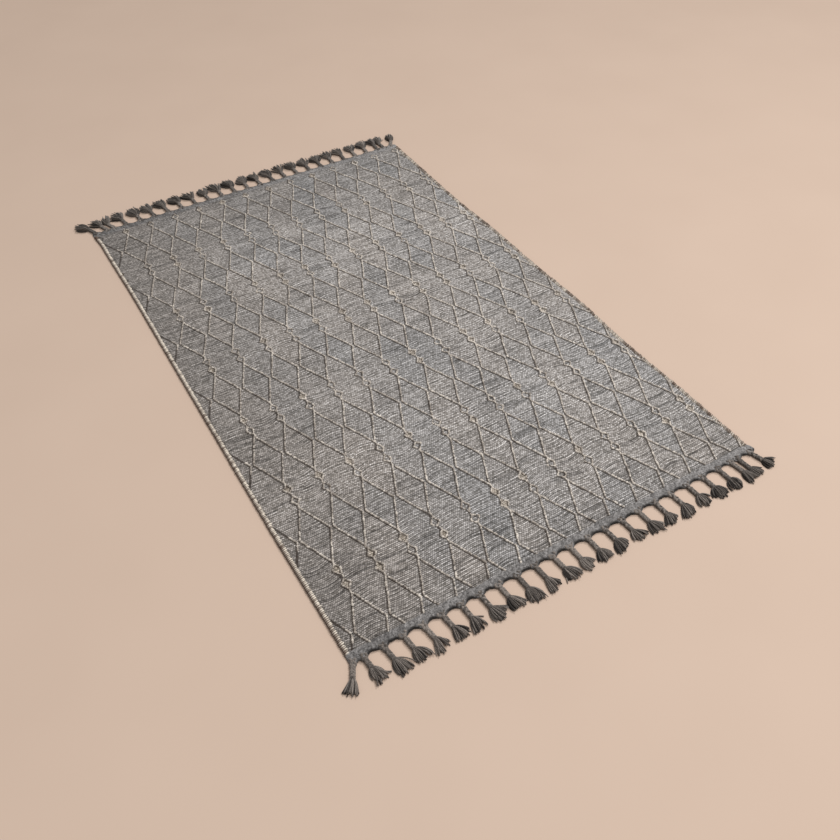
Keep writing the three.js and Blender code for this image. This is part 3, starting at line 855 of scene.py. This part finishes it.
def head_yarns(neck, end, angle, length, fan, root, draw):
    """Routes and tones of the loose yarn ends below a tie, in clumps that fan out and lie on the floor."""
    frayed = root == FRAYED_ROOT
    rightness = np.clip(root / 600, 0, 1) if end < 0 else 0
    widest = math.atan2(fan / 2, length * 0.8) * (1.26 if end > 0 else 1.02 + 0.22 * rightness)
    share = np.linspace(0, 1, HEAD_RINGS)
    # One head has round shoulders and closes at its tips, and the next one flares like a brush.
    shoulders = draw.uniform(0.4, 2.5)
    sweep = 0.16 * draw.normal()
    if abs(root) > CORNER_ROOT:
        # The near corners' heads turn outward, and the left one is a narrow one.
        sweep = CORNER_SWEEP * np.sign(root) if end < 0 else 0
        widest *= 0.7 if end < 0 and root < 0 else 1
    slope = 0.1 * draw.normal()
    for clump in range(CLUMPS):
        clump_spread = 2 * (clump + 0.5) / CLUMPS - 1 + 0.07 * draw.normal()
        clump_tone = draw.uniform(0.02, 0.52) - 0.07 * rightness
        clump_bend = 0.12 * draw.normal()
        clump_reach = 1 + 0.07 * draw.normal() + slope * clump_spread
        for k in range(YARNS_IN_CLUMP):
            layer = k / (YARNS_IN_CLUMP - 1)
            spread = clump_spread * (1 - 0.25 * layer) + 0.055 * draw.normal()
            stray = draw.random() < (0.35 if frayed else 0.03)
            reach = length * clump_reach * (1 - 0.1 * spread**2 - 0.06 * layer) * (1 + 0.05 * draw.normal())
            reach *= draw.uniform(1.02, 1.2) if stray else (1.05 if end > 0 else 1)
            bend = sweep + clump_bend + (0.35 if stray else 0.06) * draw.normal()
            # The yarns leave the tie widely and then bend back to hang side by side.
            heading = angle + spread * widest * (1 + shoulders * (0.5 - share)) + bend * share
            run = np.stack((np.sin(heading), end * np.cos(heading), 0 * share), axis=-1)
            step = run * reach / (HEAD_RINGS - 1)
            route = neck(-2, spread * 5) + np.cumsum(step, axis=0) - step[0]
            crown = 1 - 0.45 * min(1, abs(spread) ** 2.2)
            at_belly = (3 + (16 if end > 0 else 9.5) * layer) * crown
            at_tip = at_belly * 0.8 if end > 0 else 2 + 5 * layer
            height = np.interp(share, (0, 0.3, 0.7, 1), (3 + 4 * layer, at_belly, at_belly * 0.9, at_tip))
            route[:, 2] = np.maximum(height + 0.6 * draw.normal() * share, 1.4)
            # Painted shade: the yarns underneath are darker, and show as near black gaps between the upper
            # ones.
            tone = clump_tone + 0.16 * draw.normal() + 0.2 * layer - 0.07 + (0.2 if stray else 0)
            yield route, tone


def tie_tassels(name, end, tassels, node, seed):
    """Plaited stems, a tie at each neck, and a head of loose yarn ends."""
    draw = np.random.default_rng(seed)
    plies, ties, yarns, ply_tones, yarn_tones = [], [], [], [], []
    for root, lean, turn, stem, head, fan in tassels:
        angle = math.atan2(lean, STEM_LENGTH + HEAD_LENGTH)
        on_stem = line_from(np.array((root, end * BAND_END, 0)), end, angle)
        neck_out = STEM_LENGTH * stem + TIE_DROP
        down = np.linspace(-9, neck_out + 3, PLY_RINGS)[:, None]
        phase = draw.uniform(0, 2 * math.pi)
        for ply in range(3):
            wind = 2 * math.pi * (down / PLAIT_PITCH + ply / 3) + phase
            splay = (ply - 1) * 8 * np.exp(-np.clip(down + 2, 0, None) / 9)
            lateral, height = 4.3 * np.sin(wind) + splay, 5.8 + 1.8 * np.sin(2 * wind)
            plies.append(on_stem(down, lateral) + UP * height)
            ply_tones.append(draw.uniform(0.2, 0.85))
        around = np.linspace(-0.5 * math.pi, 1.5 * math.pi, TIE_RINGS)[:, None]
        for step in (-1.6, 1.6):
            ties.append(on_stem(neck_out + step, 6.6 * np.cos(around)) + UP * (6 + 4.9 * np.sin(around)))
        neck = line_from(on_stem(neck_out, 0), end, angle + math.radians(turn))
        head_angle = angle + math.radians(turn)
        head_length = HEAD_LENGTH * head * HEAD_SHARE
        for route, tone in head_yarns(neck, end, head_angle, head_length, fan, root, draw):
            yarns.append(route)
            yarn_tones.append(tone)
    plies, ties, yarns = np.array(plies), np.array(ties), np.array(yarns)
    ply_radii = np.full(plies.shape[:2], 4.4)
    ply_cloud = laid_along(PLY_YARN, plies, ply_radii)
    # Painted shade: a stem is darker low down, where its sides turn under.
    ply_shades = np.array(ply_tones)[:, None] * (0.15 + 0.85 * smooth((ply_cloud[..., 2] - 2) / 7))
    tie_radii = np.full(ties.shape[:2], 1.7)
    taper = np.interp(np.linspace(0, 1, HEAD_RINGS), (0, 0.3, 0.9, 1), (0.6, 1, 1, 0.7))
    yarn_radii = 1.75 * taper[None] * draw.uniform(0.85, 1.15, len(yarns))[:, None]
    parts = [
        (PLY_YARN, ply_cloud, ply_shades),
        (TIE_YARN, laid_along(TIE_YARN, ties, tie_radii, 1, ALONG_RUG), np.full(len(ties), 0.35)),
        (HEAD_YARN, laid_along(HEAD_YARN, yarns, yarn_radii), yarn_tones),
    ]
    for _, cloud, _ in parts:
        cloud[..., 2] = np.maximum(cloud[..., 2], 0)
    return put_piece(name, joined_mesh(name, parts), CHARCOAL, "fringe_yarn", node)


near_tassels = tassel_row(-1, NEAR_ROW, NEAR_ENDS)
far_tassels = tassel_row(1, FAR_ROW, FAR_ENDS)
fringes = [
    weave_band("band_near", -1, near_tassels, "fringe_near", 51),
    weave_band("band_far", 1, far_tassels, "fringe_far", 61),
    tie_tassels("tassels_near", -1, near_tassels, "fringe_near", 71),
    tie_tassels("tassels_far", 1, far_tassels, "fringe_far", 72),
]
